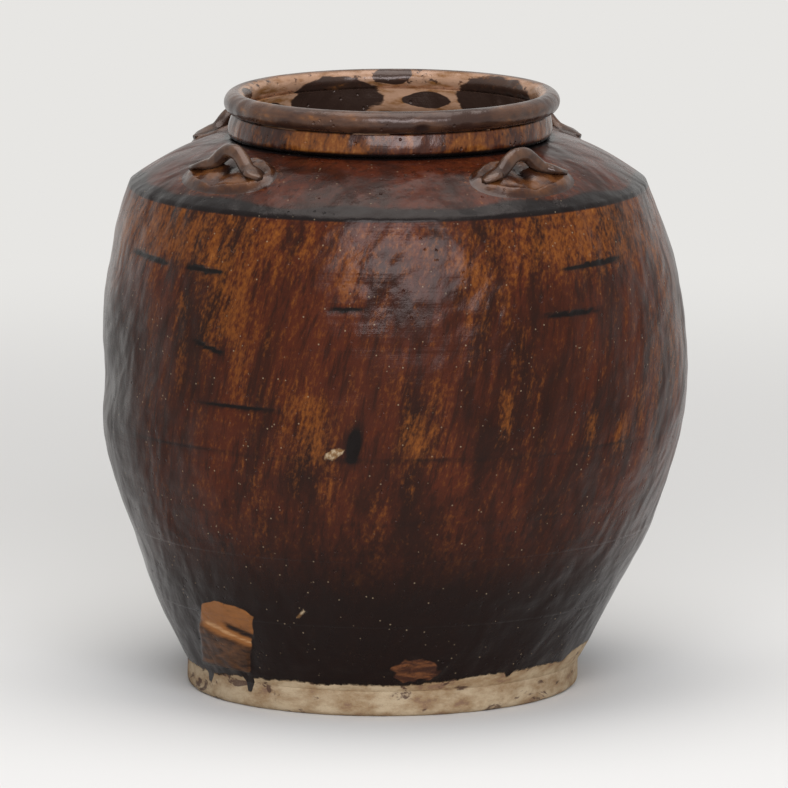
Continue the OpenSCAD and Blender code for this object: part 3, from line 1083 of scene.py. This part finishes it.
def rim_glaze():
    """Brown glaze rubbed thin and greyish on the roll, amber where it thins, dark chips."""
    n = Nodes("worn_rim_glaze")
    rub = n.cloud(n.stretched(22, 60), detail=6, rough=0.6)
    fleck = n.cloud(n.stretched(90, 160), detail=4, rough=0.65)
    colour = n.mix(n.steps(rub, 0.40, 0.60), RIM_DARK, RIM_BROWN)
    colour = n.mix(n.times(n.steps(rub, 0.57, 0.66), 0.8), colour, RIM_AMBER)
    colour = n.mix(n.times(n.steps(fleck, 0.62, 0.75), 0.6), colour, RIM_FLECK)
    inner = n.times(n.value("inner_side"), n.steps(fleck, 0.34, 0.46))
    colour = n.mix(n.times(inner, 0.85), colour, mouth_clay(n))
    colour = n.mix(n.times(n.value("chip"), 0.9), colour, CHIP_DARK)
    return glazed(n, colour, 0.20, 0.34, 0.5)


def lug_glaze(name, ground, edge):
    """Brown glaze, worn to grey-brown on what stands out, and painted shade, black, in the hollows and
    under the arch.
    """
    n = Nodes(name)
    rub = n.cloud(n.object, scale=55, detail=5, rough=0.6)
    colour = n.mix(n.steps(rub, 0.4, 0.62), ground, edge)
    colour = n.mix(n.times(n.value("thin_edge"), 0.9), colour, DARK_GLAZE)
    # Painted shade: black in the hollows and under the arch
    colour = n.mix(n.times(n.value("hollow"), 0.93), colour, HOLLOW_SHADE_BLACK)
    return glazed(n, colour, 0.16, 0.30, 0.5)


def foot_clay():
    """Sandy unglazed clay with kiln stains, dusty patches and the glaze's drips at its top."""
    n = Nodes("bare_foot_clay")
    colour = clay_colour(n, BARE_CLAY)
    cover = glaze_cover(n)[1]
    colour = n.mix(cover, colour, BLACK_GLAZE)
    n.link(colour, n.shader.inputs["Base Color"])
    n.link(n.minus(0.88, n.times(cover, 0.6)), n.shader.inputs["Roughness"])
    grain = n.bump(n.cloud(n.object, scale=420, detail=5, rough=0.7), 0.001, 0.6)
    n.link(n.bump(cover, 0.002, 0.8, grain), n.shader.inputs["Normal"])
    n.shader.inputs["Specular IOR Level"].default_value = 0.35
    return n.material


def base_clay():
    """The same clay, unglazed, for the jar's floor."""
    n = Nodes("bare_base_clay")
    n.link(clay_colour(n, BARE_CLAY), n.shader.inputs["Base Color"])
    n.shader.inputs["Roughness"].default_value = 0.9
    grain = n.bump(n.cloud(n.object, scale=300, detail=5, rough=0.7), 0.001, 0.6)
    n.link(grain, n.shader.inputs["Normal"])
    return n.material


def wear(piece, material, node):
    """Gives a piece its finish and its place in the frame."""
    piece.data.materials.append(material)
    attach(piece, "root")
    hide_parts(node)


WALL_FIELDS = {"amber_run": run_field, "amber_band": amber_band, "dark_glaze": dark_field,
               "glaze_edge": glaze_edge, "scar_edge": scar_edge, "scar_tone": scar_tone,
               "small_scar_edge": small_scar_edge, "grit_edge": grit_edge, "crack": crack_field}

body_glaze = wall_glaze()
for i in range(1, len(COURSE_H) + 2):
    course = make_wall_course(i)
    for name, field in WALL_FIELDS.items():
        paint(course, name, field)
    wear(course, body_glaze, f"wall_course_{i}")

shoulder = make_shoulder()
paint(shoulder, "darkening", pool_field)
paint(shoulder, "lug_amber", lug_amber_field)
paint(shoulder, "ridge_amber", ridge_amber_field)
wear(shoulder, shoulder_glaze(), "shoulder")

neck = make_neck()
# Black in the neck's groove and painted shade under the roll
paint(neck, "darkening", neck_pool_and_shade_field)
paint(neck, "inside", inside_field)
paint(neck, "patch", patch_field)
wear(neck, neck_glaze(), "neck_collar")

rim = make_rim()
paint(rim, "inner_side", rim_inner_field)
paint(rim, "patch", patch_field)
paint(rim, "chip", chip_field)
wear(rim, rim_glaze(), "rim_roll")

foot = make_foot()
paint(foot, "glaze_edge", glaze_edge)
wear(foot, foot_clay(), "foot_ring")
base = make_base()
wear(base, base_clay(), "base_disc")

coil_glaze_with_shade = lug_glaze("worn_lug_glaze_with_painted_shade", COIL_BROWN, COIL_WORN)
pad_glaze_with_shade = lug_glaze("amber_pad_glaze_with_painted_shade", PAD_BROWN, PAD_AMBER)
for number, (name, at) in enumerate(LUGS.items()):
    pad = make_pad(name, at)
    # Painted shade in the pad's thumb hollows and under the arch
    paint(pad, "hollow", hollow_shade_field(at))
    paint(pad, "thin_edge", pad_edge(at))
    wear(pad, pad_glaze_with_shade, f"lug_pad_{name}")
    loop = make_loop(name, at, number * 3.7)
    # Painted shade on the coil's underside, near the pad
    paint(loop, "hollow", under_arch_shade)
    wear(loop, coil_glaze_with_shade, f"lug_loop_{name}")


# The room in metres: the floor, and how far off it fades into the plain background
FLOOR_R = 16.0
FADE_FROM, FADE_TO = 0.9, 2.6
BACKDROP = (0.80, 0.79, 0.77)
ROOM_LIGHT = 0.27
COOL = (0.93, 0.95, 1.0)
WARM = (1.0, 0.98, 0.95)
# Soft lamps: name, place, the point it faces, its width and height, watts, tint
LAMPS = (
    ("window", (0.35, -4.1, 2.35), (0, 0, 0.38), (3.4, 1.7), 150, COOL),
    ("ceiling", (0.0, -0.2, 3.8), (0, 0, 0.0), (3.2, 3.2), 98, WARM),
)


def seen_directly(tree):
    """1 for rays that see the background itself: direct, mirrored or through glass."""
    path = tree.nodes.new("ShaderNodeLightPath")
    total = path.outputs["Is Camera Ray"]
    for name in ("Is Glossy Ray", "Is Transmission Ray"):
        node = tree.nodes.new("ShaderNodeMath")
        node.operation = "ADD"
        node.use_clamp = True
        tree.links.new(total, node.inputs[0])
        tree.links.new(path.outputs[name], node.inputs[1])
        total = node.outputs[0]
    return total


def make_floor():
    """A pale floor that takes the jar's shadow and fades into the plain background further off."""
    bm = bmesh.new()
    bmesh.ops.create_circle(bm, cap_ends=True, radius=FLOOR_R, segments=96)
    bmesh.ops.recalc_face_normals(bm, faces=bm.faces)
    floor = finish_mesh("floor", bm)
    n = Nodes("pale_floor")
    n.shader.inputs["Base Color"].default_value = (*BACKDROP, 1)
    n.shader.inputs["Roughness"].default_value = 0.8
    n.shader.inputs["Specular IOR Level"].default_value = 0.2
    length = n.put("ShaderNodeVectorMath", {0: n.object}, operation="LENGTH")
    far_off = n.steps(length.outputs["Value"], FADE_FROM, FADE_TO)
    share = n.times(far_off, seen_directly(n.tree))
    plain_light = n.put("ShaderNodeEmission", {"Color": BACKDROP})
    inputs = {0: share, 1: n.shader.outputs[0], 2: plain_light.outputs[0]}
    fade = n.put("ShaderNodeMixShader", inputs)
    n.link(fade.outputs[0], n.tree.nodes["Material Output"].inputs["Surface"])
    n.material.cycles.emission_sampling = "NONE"
    floor.data.materials.append(n.material)


def softbox(name, at, aim, size, power, tint):
    """A soft rectangular lamp."""
    light = bpy.data.lights.new(name, "AREA")
    light.shape = "RECTANGLE"
    light.size, light.size_y = size
    light.energy = power
    light.color = tint
    lamp = bpy.data.objects.new(name, light)
    lamp.location = at
    lamp.rotation_euler = (Vector(aim) - Vector(at)).to_track_quat("-Z", "Y").to_euler()
    bpy.context.scene.collection.objects.link(lamp)


def light_room():
    """Even light from all round, a wide window in front and a soft ceiling."""
    world = bpy.data.worlds.new("room")
    bpy.context.scene.world = world
    world.use_nodes = True
    tree = world.node_tree
    light = tree.nodes["Background"]
    light.inputs["Color"].default_value = (*COOL, 1)
    light.inputs["Strength"].default_value = ROOM_LIGHT
    seen = tree.nodes.new("ShaderNodeBackground")
    seen.inputs["Color"].default_value = (*BACKDROP, 1)
    choice = tree.nodes.new("ShaderNodeMixShader")
    tree.links.new(seen_directly(tree), choice.inputs[0])
    tree.links.new(light.outputs[0], choice.inputs[1])
    tree.links.new(seen.outputs[0], choice.inputs[2])
    tree.links.new(choice.outputs[0], tree.nodes["World Output"].inputs["Surface"])
    for lamp in LAMPS:
        softbox(*lamp)


def place_camera():
    """A long lens 10 m off and 9.5 degrees above the jar, as the photograph was taken."""
    distance, height, aim = 10.0, 9.5, Vector((0.0019, 0, 0.2731))
    camera = bpy.data.cameras.new("photo_view")
    camera.sensor_width = 36
    picture, metres_a_pixel = 788, 0.00094
    camera.lens = 36 * distance / (picture * metres_a_pixel)
    camera.clip_end = 100
    holder = bpy.data.objects.new("photo_view", camera)
    rise = math.radians(height)
    holder.location = aim + distance * Vector((0, -math.cos(rise), math.sin(rise)))
    holder.rotation_euler = (math.pi / 2 - rise, 0, 0)
    bpy.context.scene.collection.objects.link(holder)
    bpy.context.scene.camera = holder


make_floor()
light_room()
place_camera()
bpy.context.scene.view_settings.view_transform = "Standard"
